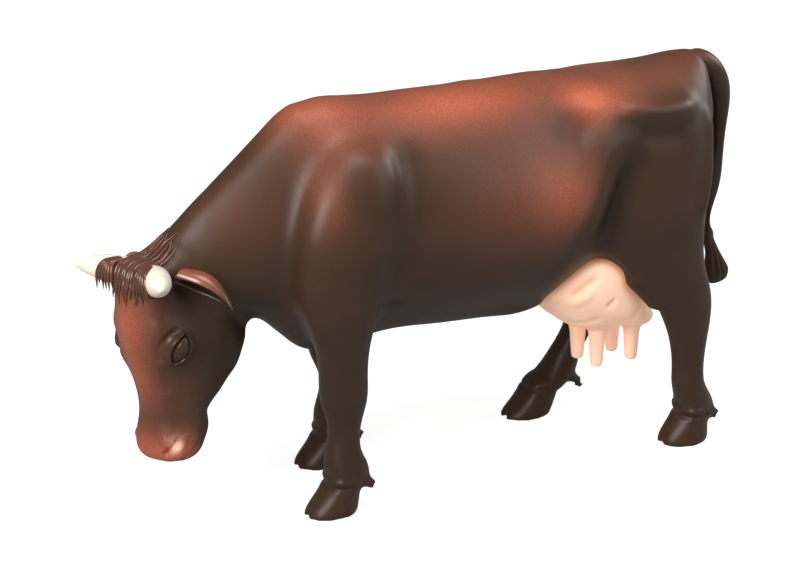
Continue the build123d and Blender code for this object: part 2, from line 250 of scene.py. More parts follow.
def outsideOf(mesh):
    # drops the walls of the hollow inside, whose points see no way out along any axis
    clay = Clay(mesh)
    tree = clay.tree()
    starts = clay.co + clay.normals() * sight["lift"]
    ways = [Vector(way) for way in sight["ways"]]
    seen = np.zeros((len(starts), 1))
    for index, start in enumerate(starts.tolist()):
        place = Vector(start)
        seen[index] = any(tree.ray_cast(place, way)[0] is None for way in ways)
    for _ in range(sight["blurRounds"]):
        seen = clay.mean(seen)
    bm = bmesh.new()
    bm.from_mesh(mesh)
    inner = [vert for vert in bm.verts if seen[vert.index, 0] < sight["seenFrom"]]
    bmesh.ops.delete(bm, geom=inner, context="VERTS")
    bmesh.ops.holes_fill(bm, edges=[edge for edge in bm.edges if edge.is_boundary])
    return meshOf(bm, "outside")


def noLargeFaces(bm):
    bmesh.ops.triangulate(bm, faces=[face for face in bm.faces if len(face.verts) > 4])


def refined(mesh, chosen):
    # halves the mesh size where the points are chosen
    bm = bmesh.new()
    bm.from_mesh(mesh)
    edges = [e for e in bm.edges if chosen[e.verts[0].index] and chosen[e.verts[1].index]]
    bmesh.ops.subdivide_edges(bm, edges=edges, cuts=1, use_grid_fill=True)
    noLargeFaces(bm)
    return meshOf(bm, "skin")


def onSkin(tree, points, lift=0.0):
    places = []
    for point in points:
        nearest, normal, _, _ = tree.find_nearest(Vector(point))
        places.append(np.array(nearest + normal * lift))
    return np.array(places)


sideView = {"from": 99, "near": 9, "above": 120}


def onSide(tree, side, places):
    # points of the side view, along and up, on the skin of one side
    points = []
    for x, z in places:
        hit = tree.ray_cast(Vector((x, side * sideView["from"], z)), Vector((0, -side, 0)))[0]
        points.append(np.array(hit if hit else tree.find_nearest(Vector((x, side * sideView["near"], z)))[0]))
    return points


def strokeSides(clay, marks):
    # the same strokes on both sides; gives the skin as it was before them
    tree = clay.tree()
    for side in sideSigns.values():
        for mark in marks:
            clay.stroke(onSide(tree, side, mark["line"]), mark["width"], mark["amount"])
    return tree


tubeRoundness = 8


def tubes(name, lines):
    # round strands with a thickness of their own at each point
    curve = bpy.data.curves.new(name, "CURVE")
    curve.dimensions = "3D"
    curve.bevel_depth = 1
    curve.bevel_resolution = tubeRoundness
    curve.use_fill_caps = True
    for points, radii in lines:
        spline = curve.splines.new("POLY")
        spline.points.add(len(points) - 1)
        for knot, point, radius in zip(spline.points, points, radii):
            knot.co = (*(np.asarray(point) * mm), 1)
            knot.radius = radius * mm
    return evaluated(curve)


def writeValues(mesh, values):
    # numbers on the mesh's points that the materials read
    for name, value in values.items():
        layer = mesh.attributes.get(name) or mesh.attributes.new(name, "FLOAT", "POINT")
        layer.data.foreach_set("value", value.astype(np.float32))


def dressed(name, mesh, nodes, material):
    piece = linked(name, mesh)
    mesh.materials.clear()
    mesh.materials.append(material)
    for polygon in mesh.polygons:
        polygon.use_smooth = True
    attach(piece, "root")
    if nodes:
        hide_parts(*nodes)


# Hide: trunk, neck, legs and head as one skin, cut into the moulded pieces further down
hide = {
    "voxel": 0.5, "polishRounds": 4, "softRounds": 90, "loinRounds": 180, "evenRounds": 6,
    "legTop": (30, 52), "headFrom": (-4, 3), "headAhead": (-46, -56),
}
behindEars = {"forward": (5, 1), "from": (-14, -7), "to": (20, 12), "along": (-42, -48)}
loin = {"from": (12, 20), "to": (46, 38), "up": (66, 72)}
hideNodes = [node for node in frame["nodes"] if node.startswith(("body_shell", "leg_inner", "head_shell"))]
skin = outsideOf(voxelCopy(hide["voxel"], *hideNodes))
skin = evaluated(skin, "REMESH", mode="VOXEL", voxel_size=hide["voxel"] * mm)
clay = Clay(skin)
clay.polish(hide["polishRounds"])
along, aside, up = clay.co.T  # these follow the clay as it moves
inHead = smoothStep(*hide["headFrom"], headPlaces(clay.co)[2]) * smoothStep(*hide["headAhead"], along)
onTrunk = smoothStep(*hide["legTop"], up) * (1 - inHead) ** 2
clay.relax(hide["softRounds"], onTrunk)
_, forward, down = headPlaces(clay.co)
earWeight = smoothStep(*behindEars["forward"], forward) * smoothStep(*behindEars["along"], along)
earWeight *= smoothStep(*behindEars["from"], down) * smoothStep(*behindEars["to"], down)
clay.relax(hide["softRounds"], earWeight)
loinWeight = smoothStep(*loin["from"], along) * smoothStep(*loin["to"], along) * smoothStep(*loin["up"], up)
clay.relax(hide["loinRounds"], loinWeight)
clay.relax(hide["evenRounds"])
print("hide:", len(clay.co), "points")

# Muscles and bones on both sides of the body, as lines on the side view: along, up
bodyStrokes = [
    # shoulder: groove along the neck, front ridge, rear mass, hollow behind it, elbow
    drawn(6.0, -0.45, (-27, 90), (-32, 85), (-36.5, 78), (-40, 70), (-42, 62), (-42, 53)),
    drawn(6.0, 0.9, (-23, 87), (-28, 82), (-33, 76), (-36.5, 67), (-37.5, 57)),
    drawn(6.0, 1.7, (-23, 87), (-21.5, 82), (-21.5, 76), (-22.5, 69), (-23, 61), (-23, 54)),
    drawn(4.2, -1.2, (-15, 86), (-13, 79), (-13.5, 70), (-14.5, 61), (-15.5, 53)),
    drawn(1.0, -1.0, (-24, 48.2), (-19.5, 48.6), (-13.5, 47.4)),
    # loin, shelf from hip bone to pin bone, dip below it, rear of the thigh and its side
    drawn(3.0, 0.8, (20, 87), (28, 86), (35, 85.2), (42, 84.4)),
    drawn(2.7, 1.6, (39, 84.8), (46.5, 83), (52, 82.2), (58, 82), (64.5, 83)),
    drawn(3.4, -0.9, (44, 79.0), (51, 77.2), (58, 76.8)),
    drawn(1.9, 1.4, (65.4, 82), (65.2, 73), (63.0, 63), (60.5, 53)),
    drawn(5.0, -0.5, (44, 74), (51, 72), (58, 71)),
    # groove in front of the thigh, fold and hollow of the flank
    drawn(3.2, -2.1, (44, 76), (40.5, 67), (38.2, 61), (36.5, 54)),
    drawn(3.8, 1.1, (40, 82), (35.5, 76), (32.5, 69), (30.8, 62), (29.5, 55)),
    drawn(4.0, -0.9, (25, 82.0), (29, 80.6), (33, 79.2)),
]
# along the middle of neck and back: places from front to rear
topStrokes = [
    drawn(4.5, 0.5, -62, -54, -46, -38, -30),
    drawn(6.0, 0.5, -36, -30, -24, -16),
    drawn(6.0, 0.8, 4, 14, 24, 34),
    drawn(5.0, 0.5, 46, 54, 62, 68),
]
# edges of single legs, and the way they move: near stifle over the udder, far forearm fuller in front
legStrokes = [
    (drawn(4.5, 2.2, (44, -16, 46), (48.5, -16, 39.5), (52.5, -16, 33)), (-0.85, 0, -0.5)),
    (drawn(4.0, 1.1, (-29, 12.8, 34), (-28.5, 12.8, 27), (-27.5, 12.8, 20)), (-1, 0, 0)),
]
rump = {"at": (66.5, 0, 88), "size": (6, 6, 5), "height": 1.2}
tailHead = {"at": (69.5, 0, 87), "size": (5, 4.5, 5), "height": 2.0, "way": (0.6, 0, 0.8)}
spine = {
    "rounds": 40, "loinShare": 0.6, "aside": (12, 7), "up": (78, 82), "from": (-36, -28), "to": (62, 56),
}
tree = strokeSides(clay, bodyStrokes)
for mark in topStrokes:
    line = [tree.ray_cast(Vector((x, 0, sideView["above"])), Vector((0, 0, -1)))[0] for x in mark["line"]]
    clay.stroke(line, mark["width"], mark["amount"])
for mark, way in legStrokes:
    clay.stroke(mark["line"], mark["width"], mark["amount"], direction=way)
clay.dab(rump["at"], rump["size"], rump["height"])
clay.dab(tailHead["at"], tailHead["size"], tailHead["height"], tailHead["way"])
onSpine = smoothStep(*spine["aside"], np.abs(aside)) * smoothStep(*spine["up"], up)
onSpine *= smoothStep(*spine["from"], along) * smoothStep(*spine["to"], along)
clay.relax(spine["rounds"], np.maximum(onSpine, spine["loinShare"] * loinWeight))
clay.relax(hide["evenRounds"], onTrunk)

# The top line: places along the back, and how far it rises or sinks there
topLine = [
    (-68, 0), (-64, 2.0), (-59, 1.3), (-54, 0.5), (-48, 0.3), (-43, 0.5), (-38, 0.8), (-33, 0.6), (-28, 0.6),
    (-22, -0.25), (-17, -0.05), (-7, 0.3), (3, 0.3), (9, 0), (14, -0.4), (19, 0), (24, 0.3), (34, 0.5),
    (40, -0.6), (45, -1.1), (50, -0.9), (55, -0.55), (60, -0.5), (66, -0.75), (71, 0.4),
]
crest = {"facing": (0.1, 0.6), "halfWidth": 8, "up": (58, 64), "evenRounds": 4}
upward = smoothStep(*crest["facing"], clay.normals()[:, 2]) * bell(aside / crest["halfWidth"])
up += np.interp(along, *np.array(topLine).T) * upward * smoothStep(*crest["up"], up)
clay.relax(crest["evenRounds"], onTrunk)
print("body:", len(bodyStrokes), "strokes on each side")

# Finer points for the head and the feet, and the finest for eyes and muzzle
fineness = {"headFrom": 0.02, "feetTop": 12, "polishRounds": 2}
headRange = {"down": -3, "along": -50}
muzzle = {"from": 36, "to": 45, "ahead": 0.9}
eye = {
    "forward": 3.3, "down": 20.1, "slant": 27, "half": (3.1, 1.4), "rimRoundness": 0.8,
    "field": 6.5, "smoothField": 5.0, "smoothRounds": 40, "outFrom": 2, "limits": (2, 6),
    "ball": 1.2, "ballLength": 1.15, "ballOver": 0.5, "cornerFade": (1.45, 1.0),
    # of the upper lid, then of the lower one
    "lids": (1.15, 0.6), "lidWidths": (0.75, 0.5), "lidPlace": 0.9,
    "slit": 0.75, "slitInside": 0.1, "slitWidth": 0.28,
    "fold": 0.4, "foldPlaces": (2.5, 1.6), "foldWidth": 0.7,
}


def finer(chosen):
    clay.write()
    made = Clay(refined(clay.mesh, chosen))
    made.polish(fineness["polishRounds"])
    return made


clay = finer((inHead > fineness["headFrom"]) | (up < fineness["feetTop"]))
_, forward, down = headPlaces(clay.co)
fromEye = np.hypot(forward - eye["forward"], down - eye["down"])
inHeadRange = (down > headRange["down"]) & (clay.co[:, 0] < headRange["along"])
clay.relax(eye["smoothRounds"], (fromEye < eye["smoothField"]) & inHeadRange)
reach = muzzle["ahead"] * smoothStep(muzzle["from"], muzzle["to"], down) * inHeadRange
clay.co += reach[:, None] * headAxes[1]
clay = finer(inHeadRange & ((fromEye < eye["field"]) | (down > muzzle["from"])))


def shapeEye(side):
    # an almond between two lids, leaning with the head: u runs along the slit, v across it
    out, forward, down = headPlaces(clay.co)
    lean = math.radians(eye["slant"])
    halfLength, halfHeight = eye["half"]
    ahead, below = forward - eye["forward"], down - eye["down"]
    u = -(ahead * math.sin(lean) + below * math.cos(lean)) / halfLength
    v = ahead * math.cos(lean) - below * math.sin(lean)
    upper = v > 0
    rim = halfHeight * np.clip(1 - u**2, 0, 1) ** eye["rimRoundness"]
    edge = np.hypot(np.maximum(np.abs(v) - rim, 0), np.maximum(np.abs(u) - 1, 0) * halfLength)
    edge = np.where(np.abs(v) < rim, np.abs(v) - rim, edge)
    fade = smoothStep(*eye["cornerFade"], np.abs(u))
    ball = 1 - (u / eye["ballLength"]) ** 2 - (v / (halfHeight + eye["ballOver"])) ** 2
    amount = eye["ball"] * np.sqrt(np.clip(ball, 0, 1))
    lidWidth = np.where(upper, *eye["lidWidths"])
    amount += np.where(upper, *eye["lids"]) * fade * bell((edge - eye["lidPlace"] * lidWidth) / lidWidth)
    amount -= eye["slit"] * bell((edge + eye["slitInside"]) / eye["slitWidth"])
    amount -= eye["fold"] * fade * bell((edge - np.where(upper, *eye["foldPlaces"])) / eye["foldWidth"])
    near = (out * side > eye["outFrom"]) & (np.abs(u) < eye["limits"][0]) & (np.abs(v) < eye["limits"][1])
    near &= clay.co[:, 0] < headRange["along"]
    clay.co += clay.normals() * (amount * near)[:, None]


# Face: in the head's own axes (out, forward, down), the same on both sides
faceDabs = [
    # brow, temple hollow, cheek bone, cheek, throat, jaw, its front end, chin: place, reach, height
    ((7.6, 6.2, 15.6), 3.4, 1.1),
    ((9.2, 2.0, 12.0), 3.4, -0.7),
    ((8.0, 5.6, 23.5), 4.0, 0.8),
    ((7.4, 2.5, 29.5), 4.0, 0.4),
    ((6.0, -18.0, 17.0), 4.5, -0.9),
    ((5.2, -13.0, 29.5), 5.0, 1.5),
    ((4.4, -8.5, 34.5), 3.6, 0.9),
    ((4.0, -5.0, 42.0), 3.4, 1.0),
]
faceStrokes = [
    # tear line, jaw edge, nostril with its wing and inner rim, mouth, dip above the chin
    drawn(1.3, -0.35, (8.0, 5.6, 24.2), (7.4, 6.2, 27.0), (6.8, 5.8, 31.0)),
    drawn(1.2, 0.8, (6.6, -14.0, 16.0), (6.0, -18.0, 21.0), (5.6, -16.5, 26.0), (5.2, -10.5, 31.0)),
    drawn(0.75, -1.25, (6.7, 4.6, 40.4), (6.4, 6.1, 42.2), (4.9, 7.2, 43.9), (3.7, 7.3, 44.4)),
    drawn(0.9, 0.4, (7.3, 3.4, 39.9), (7.3, 4.4, 42.2), (6.2, 5.9, 44.6)),
    drawn(0.9, 0.3, (5.6, 6.9, 40.6), (4.6, 7.8, 42.2)),
    drawn(0.6, -0.3, (2.0, 6.0, 46.2), (5.6, 4.0, 45.4), (7.2, 0.5, 43.6), (6.8, -3.0, 41.6)),
    drawn(1.5, -0.35, (1.0, -7.0, 38.5), (4.5, -5.5, 38.5), (6.4, -2.5, 38.8)),
]
pollDip = {"at": (0, 2.5, 0), "size": (8, 9, 9), "sink": -1.6}
farCheek = {"at": (8.3, 6.0, 23.5), "size": 4.2, "height": 1.1}
clay.dab(onHead(*pollDip["at"]), pollDip["size"], pollDip["sink"], headAxes[2])
clay.dab(onHead(*farCheek["at"]), farCheek["size"], farCheek["height"])
tree = clay.tree()
for side in sideSigns.values():
    for place, size, height in faceDabs:
        clay.dab(onSkin(tree, onHeadSide(side, [place]))[0], size, height)
    shapeEye(side)
    for mark in faceStrokes:
        clay.stroke(onSkin(tree, onHeadSide(side, mark["line"])), mark["width"], mark["amount"])
print("face:", len(clay.co), "points")

# Feet: the front of the pastern is drawn back over the toe, with a band at the coronet and a spur behind
hooves = {
    "frontLeft": (-31.6, -12.8), "frontRight": (-21.6, 12.8),
    "hindLeft": (59.85, -15.4), "hindRight": (34.85, 15.4),
}
foot = {
    "reach": (13, 8, 16), "front": (2, -5), "low": 0.5, "coronet": 7.8, "pull": 2.6,
    "band": 0.4, "bandAbove": 0.5, "bandWidth": 0.7, "grooveBelow": 0.8, "grooveWidth": 0.5, "bandTo": 4,
    "spur": 2.0, "spurHeights": (15.5, 7.4, 6.4, 5.4), "spurFrom": (1, 4.5), "spurWidth": 3.6,
    "evenRounds": 2, "sole": 0.001,
}


def shapeFoot(x, y):
    ahead, beside = clay.co[:, 0] - x, clay.co[:, 1] - y
    height = clay.co[:, 2]
    farthest, widest, highest = foot["reach"]
    near = (np.abs(ahead) < farthest) & (np.abs(beside) < widest) & (height < highest)
    front = smoothStep(*foot["front"], ahead) * near
    rise = smoothStep(foot["low"], foot["coronet"], height) * smoothStep(highest, foot["coronet"], height)
    clay.co[:, 0] += foot["pull"] * front * rise
    above = height - foot["coronet"]
    ring = bell((above - foot["bandAbove"]) / foot["bandWidth"])
    ring -= bell((above + foot["grooveBelow"]) / foot["grooveWidth"])
    clay.co += clay.normals() * (ring * foot["band"] * near * (ahead < foot["bandTo"]))[:, None]
    top, full, edge, under = foot["spurHeights"]
    flare = smoothStep(top, full, height) * smoothStep(under, edge, height)
    flare *= smoothStep(*foot["spurFrom"], ahead) * near
    clay.co[:, 0] += foot["spur"] * flare * bell(beside / foot["spurWidth"])


for x, y in hooves.values():
    shapeFoot(x, y)
clay.relax(foot["evenRounds"])
clay.co[:, 2] = np.maximum(clay.co[:, 2], foot["sole"])
clay.write()
print("feet done")

# Paint: how much of the red airbrush lies on each point, from 0 to 1, with painted light from above on the
# up-facing back, and how much painted shade lies in the hollows and valleys
coatPaint = {
    "back": 0.45, "backUp": (72, 91), "backFacing": (0.0, 0.8), "backFrom": (-50, -36),
    "rumpLess": 0.5, "rumpFrom": (44, 54), "thighSoft": (3, -3), "thighTop": (80.5, 83.5), "thighLeast": 0.25,
    "headFrom": (-3, 3), "headAhead": -48, "muzzle": 0.85, "muzzleFrom": (35.5, 45), "muzzleFront": (-4, 5),
    "shadeAside": (6, 10), "shadeSteps": 4, "hollow": 7, "hoofTop": (8.6, 7.6),
    "wetReach": (2.6, 3.6), "wetEdge": (1.3, 0.9),
}
paintSpots = [
    # along, out from the middle, up; reach in each; amount
    ((-30, 6, 90), (8, 10, 6), 0.33),
    ((2, 8, 89), (18, 8, 5), 0.43),
    ((35, 12, 86), (7, 6, 5), 0.65),
    ((56, 8, 88), (15, 8, 4), 0.18),
    ((-34, 17, 75), (5, 7, 10), 0.34),
    ((24, 21, 69), (9, 7, 10), 0.34),
    ((-54, 8, 74), (18, 10, 11), 0.22),
    ((54, 18, 66), (9, 6, 10), 0.24),
    ((16, 22, 71), (23, 10, 15), 0.34),
    ((-33, 12, 60), (9, 9, 14), 0.14),
    ((55, 15, 36), (14, 12, 14), 0.08),
]
headSpots = [
    # out, forward, down; reach in each; amount
    ((0, 9, 13), (8, 5, 9), 0.76),
    ((0, 8, 27), (5.5, 5, 11), 0.66),
    ((7, 1, 32), (4, 6, 7), 0.16),
]
nostrilPale = {"at": (6.6, 6.0, 42.6), "reach": (1.5, 1.3, 1.7)}
# where the red stops in front of the thigh: up, along
thighLine = ((45, 55, 66, 77, 84), (18, 25, 31, 36, 42))
# painted shade in the valleys of the side view: thigh, shoulder, flank, hip and neck
shadeLines = [
    drawn(2.8, 0.6, (44, 76), (40.5, 67), (38.2, 61), (36.5, 54)),
    drawn(3.6, 0.3, (-11.5, 80), (-12, 70), (-13.5, 60)),
    drawn(2.8, 0.3, (26, 81), (33, 79)),
    drawn(2.2, 0.35, (45, 79.5), (52, 78), (58, 77.5)),
    drawn(3.6, 0.35, (-38, 74), (-41, 66), (-42, 57)),
]


def bodyRed(x, y, z, facingUp):
    # red mist over the back, stronger where the surface faces up: partly the airbrush, partly painted light
    # from above
    red = coatPaint["back"] * smoothStep(*coatPaint["backUp"], z)
    red *= smoothStep(*coatPaint["backFacing"], facingUp)
    red *= smoothStep(*coatPaint["backFrom"], x)
    red *= 1 - coatPaint["rumpLess"] * smoothStep(*coatPaint["rumpFrom"], x)
    sided = np.stack([x, np.abs(y), z], 1)
    for centre, reach, amount in paintSpots:
        red += amount * spot(sided, centre, reach)
    beforeThigh = smoothStep(*coatPaint["thighSoft"], x - np.interp(z, *thighLine))
    overThigh = smoothStep(*coatPaint["thighTop"], z)
    return red * np.maximum(np.maximum(beforeThigh, overThigh), coatPaint["thighLeast"])


def valleyShade(x, y, z):
    shade = np.zeros(len(x))
    flat = np.stack([x, z], 1)
    for mark in shadeLines:
        line = curveThrough(mark["line"], coatPaint["shadeSteps"])
        gap = np.min([np.linalg.norm(flat - point, axis=1) for point in line], axis=0)
        shade += mark["amount"] * bell(gap / mark["width"]) * smoothStep(*coatPaint["shadeAside"], np.abs(y))
    return shade


def paint(mesh):
    clay = Clay(mesh)
    x, y, z = clay.co.T
    red = bodyRed(x, y, z, clay.normals()[:, 2])
    out, forward, down = headPlaces(clay.co)
    onFace = smoothStep(*coatPaint["headFrom"], down) * (x < coatPaint["headAhead"])
    places = np.stack([np.abs(out), forward, down], 1)
    for centre, reach, amount in headSpots:
        red += amount * spot(places, centre, reach) * onFace
    onMuzzle = smoothStep(*coatPaint["muzzleFrom"], down) * smoothStep(*coatPaint["muzzleFront"], forward)
    red += coatPaint["muzzle"] * onMuzzle * onFace
    wetAhead, wetDown = coatPaint["wetReach"]
    fromEye = np.hypot((forward - eye["forward"]) / wetAhead, (down - eye["down"]) / wetDown)
    writeValues(mesh, {
        "pale": spot(places, nostrilPale["at"], nostrilPale["reach"]) * onFace,
        "wet": smoothStep(*coatPaint["wetEdge"], fromEye) * onFace,
        "red": np.clip(red, 0, 1),
        # painted shade, darker in the skin's hollows and along the valleys of the side view
        "hollow": np.clip(clay.curl() * coatPaint["hollow"] + valleyShade(x, y, z), 0, 1),
        "hoof": smoothStep(*coatPaint["hoofTop"], z),
    })


# Materials
class Socket:
    # a node's output, with sums written as Python
    def __init__(self, shader, link):
        self.shader, self.link = shader, link

    def maths(self, operation, a, b):
        return self.shader.node("ShaderNodeMath", {"operation": operation}, {0: a, 1: b})

    def __add__(self, other):
        return self.maths("ADD", self, other)

    def __radd__(self, other):
        return self.maths("ADD", other, self)

    def __sub__(self, other):
        return self.maths("SUBTRACT", self, other)

    def __rsub__(self, other):
        return self.maths("SUBTRACT", other, self)

    def __mul__(self, other):
        return self.maths("MULTIPLY", self, other)

    def __rmul__(self, other):
        return self.maths("MULTIPLY", other, self)


class Shader:
    def __init__(self, tree):
        self.tree = tree

    def node(self, kind, settings=None, sockets=None, output=0):
        made = self.tree.nodes.new(kind)
        for key, value in (settings or {}).items():
            if key == "stops":
                ramp = made.color_ramp.elements
                while len(ramp) < len(value):
                    ramp.new(0.5)
                for element, (place, tone) in zip(ramp, value):
                    element.position = place
                    element.color = colour(tone)
            else:
                setattr(made, key, value)
        for key, value in (sockets or {}).items():
            if isinstance(value, Socket):
                self.tree.links.new(value.link, made.inputs[key])
            else:
                made.inputs[key].default_value = value
        return Socket(self, made.outputs[output])

    def attribute(self, name):
        return self.node("ShaderNodeAttribute", {"attribute_name": name}, output="Fac")

    def noise(self, size, detail):
        place = self.node("ShaderNodeTexCoord", output="Object")
        sockets = {"Vector": place, "Scale": 1 / (size * mm), "Detail": detail}
        return self.node("ShaderNodeTexNoise", None, sockets)

    def mixed(self, amount, first, second):
        return self.node("ShaderNodeMix", {"data_type": "RGBA"}, {0: amount, 6: first, 7: second}, output=2)

    def ramp(self, value, stops):
        return self.node("ShaderNodeValToRGB", {"stops": stops}, {0: value})

    def clamped(self, value):
        return self.node("ShaderNodeClamp", None, {0: value})

    def bump(self, strength, height, pattern):
        sockets = {"Strength": strength, "Distance": height * mm, "Height": pattern}
        return self.node("ShaderNodeBump", None, sockets)


def colour(tone):
    # a colour as seen on a screen, red, green and blue from 0 to 255, for a shader
    parts = [value / 255 for value in tone]
    return (*[v / 12.92 if v <= 0.04045 else ((v + 0.055) / 1.055) ** 2.4 for v in parts], 1)


def material(name):
    made = bpy.data.materials.new(name)
    made.use_nodes = True
    shader = Shader(made.node_tree)
    return made, shader, made.node_tree.nodes["Principled BSDF"]


def join(shader, surface, links):
    for name, socket in links.items():
        shader.tree.links.new(socket.link, surface.inputs[name])


noiseMean = 0.5
# each noise has a size in millimetres and a detail
coatLook = {
    # mist from bare moulding to full red
    "stops": [
        (0.0, (55, 39, 25)), (0.22, (83, 52, 37)), (0.5, (122, 69, 51)), (0.8, (161, 84, 60)),
        (1.0, (188, 100, 73)),
    ],
    "speckleNoise": (0.35, 1.0), "speckle": 0.75, "cloudNoise": (9.0, 3.0), "cloud": 0.12,
    "hoofTones": ((47, 31, 21), (72, 47, 32)), "hoofNoise": (1.6, 3.0), "hoof": 0.8,
    # painted shade: a near-black brown for the hollows and valleys
    "paintedShadeTone": (24, 19, 16), "hollow": 0.7, "paleTone": (238, 186, 158), "paleLeast": 0.6,
    "patchNoise": (2.2, 3.0), "patch": 0.1, "wet": 0.3,
    "grainNoise": (0.5, 2.0), "grain": 0.06, "grainHeight": 0.2,
}
hornLook = {
    "tones": ((240, 224, 202), (252, 243, 228)), "toneNoise": (2.5, 4.0),
    "rough": 0.34, "patchNoise": (1.5, 2.0), "patch": 0.1,
}
udderLook = {
    "tones": ((239, 182, 148), (251, 212, 186)), "toneNoise": (6.0, 3.0),
    # painted shade for the folds and for the edge at the belly; the glow is painted light
    "paintedShadeTone": (214, 136, 104), "bellyEdgeShadeTone": (228, 152, 116), "glow": 0.32,
    "rough": 0.42, "patchNoise": (1.8, 2.0), "patch": 0.12,
    "grainNoise": (0.8, 3.0), "grain": 0.12, "grainHeight": 0.3,
}


def coatFinish(name, gloss, shine):
    # dark brown moulding with a red-brown mist sprayed over the high places
    made, shader, surface = material(name)
    speckle = shader.noise(*coatLook["speckleNoise"])
    cloud = shader.noise(*coatLook["cloudNoise"])
    red = shader.attribute("red")
    spray = red + (speckle - noiseMean) * coatLook["speckle"] * red
    mist = shader.clamped(spray + (cloud - noiseMean) * coatLook["cloud"])
    hoofDark, hoofLight = [colour(tone) for tone in coatLook["hoofTones"]]
    hoofTone = shader.mixed(shader.noise(*coatLook["hoofNoise"]), hoofDark, hoofLight)
    sprayed = shader.ramp(mist, coatLook["stops"])
    base = shader.mixed(shader.attribute("hoof") * coatLook["hoof"], sprayed, hoofTone)
    # painted shade darkens the hollows and valleys
    base = shader.mixed(shader.attribute("hollow") * coatLook["hollow"], base, colour(coatLook["paintedShadeTone"]))
    pale = shader.clamped(shader.attribute("pale") * (coatLook["paleLeast"] + speckle))
    base = shader.mixed(pale, base, colour(coatLook["paleTone"]))
    patch = (shader.noise(*coatLook["patchNoise"]) - noiseMean) * coatLook["patch"]
    rough = gloss + patch - shader.attribute("wet") * coatLook["wet"] * gloss
    grain = shader.bump(coatLook["grain"], coatLook["grainHeight"], shader.noise(*coatLook["grainNoise"]))
    surface.inputs["Specular IOR Level"].default_value = shine
    join(shader, surface, {"Base Color": base, "Roughness": rough, "Normal": grain})
    return made


def hornFinish():
    made, shader, surface = material("horn")
    dark, light = [colour(tone) for tone in hornLook["tones"]]
    tone = shader.mixed(shader.noise(*hornLook["toneNoise"]), dark, light)
    rough = hornLook["rough"] + shader.noise(*hornLook["patchNoise"]) * hornLook["patch"]
    join(shader, surface, {"Base Color": tone, "Roughness": rough})
    return made


def udderFinish():
    made, shader, surface = material("udderSkin")
    dark, light = [colour(tone) for tone in udderLook["tones"]]
    tone = shader.mixed(shader.noise(*udderLook["toneNoise"]), dark, light)
    # painted shade in the folds and along the edge at the belly
    tone = shader.mixed(shader.attribute("hollow"), tone, colour(udderLook["paintedShadeTone"]))
    tone = shader.mixed(shader.attribute("edge"), tone, colour(udderLook["bellyEdgeShadeTone"]))
    rough = udderLook["rough"] + shader.noise(*udderLook["patchNoise"]) * udderLook["patch"]
    grain = shader.bump(udderLook["grain"], udderLook["grainHeight"], shader.noise(*udderLook["grainNoise"]))
    # painted light: the udder glows in its own colour, though it is no lamp
    surface.inputs["Emission Strength"].default_value = udderLook["glow"]
    join(shader, surface, {"Base Color": tone, "Emission Color": tone, "Roughness": rough, "Normal": grain})
    return made


coat = coatFinish("coat", gloss=0.41, shine=0.27)
hairCoat = coatFinish("hairCoat", gloss=0.25, shine=0.6)
hornPlastic = hornFinish()
udderPlastic = udderFinish()
print("materials ready")

# Pieces of the hide, cut along the joints of the mouldings
cutting = {"neckReach": 40, "sliver": 0.005, "sharpFrom": 60}
# side view of the head's share: from over the poll to under the throat, then down between jaw and chest
neckCut = [(-79, 75.7), (-44.2, 43.5), (-43.6, -5), (-130, -5), (-130, 75.7)]
# opposite corners: of the head's left half in the head's axes, of the body's left half, and of the inner legs
headCut = ((-40, -60, -70), (0, 60, 40))
bodyCut = ((-90, -40, -5), (90, 0, 100))
legCuts = {
    "front_left": ((-48, -12.8, -1), (-8, -6.4, 35)),
    "front_right": ((-48, 6.4, -1), (-2, 12.8, 35)),
    "hind_left": ((34, -15.4, -1), (80, -8.4, 46)),
    "hind_right": ((24, 8.4, -1), (80, 15.4, 37)),
}


def block(name, corners, axes=np.eye(3), origin=(0, 0, 0)):
    # a closed box between two corners given along its own axes
    low, high = np.array(corners, float)
    turn = Matrix(np.array(axes).T.tolist()).to_4x4()
    middle = Matrix.Translation(Vector((high + low) / 2) * mm)
    place = Matrix.Translation(Vector(origin) * mm) @ turn @ middle
    bm = bmesh.new()
    bmesh.ops.create_cube(bm, size=1, matrix=place @ Matrix.Diagonal((*((high - low) * mm), 1)))
    bmesh.ops.recalc_face_normals(bm, faces=bm.faces)
    return linked(name, meshOf(bm, name))


def prism(name, outline, reach):
    # a closed block with an outline on the side view, reaching as far to both sides
    bm = bmesh.new()
    face = bm.faces.new([bm.verts.new((x * mm, -reach * mm, z * mm)) for x, z in outline])
    made = bmesh.ops.extrude_face_region(bm, geom=[face])["geom"]
    far = [part for part in made if isinstance(part, bmesh.types.BMVert)]
    bmesh.ops.translate(bm, verts=far, vec=(0, 2 * reach * mm, 0))
    bmesh.ops.recalc_face_normals(bm, faces=bm.faces)
    return linked(name, meshOf(bm, name))


def halves(mesh, cutter):
    # what lies in the block and what lies outside it
    inside = evaluated(mesh, "BOOLEAN", operation="INTERSECT", object=cutter, solver="MANIFOLD")
    outside = evaluated(mesh, "BOOLEAN", operation="DIFFERENCE", object=cutter, solver="MANIFOLD")
    bpy.data.objects.remove(cutter)
    return inside, outside


def finishHide(name, mesh, node):
    bm = bmesh.new()
    bm.from_mesh(mesh)
    bmesh.ops.dissolve_degenerate(bm, dist=cutting["sliver"] * mm, edges=bm.edges)
    noLargeFaces(bm)
    bm.to_mesh(mesh)
    bm.free()
    mesh.set_sharp_from_angle(angle=math.radians(cutting["sharpFrom"]))
    paint(mesh)
    dressed(name, mesh, [node], coat)


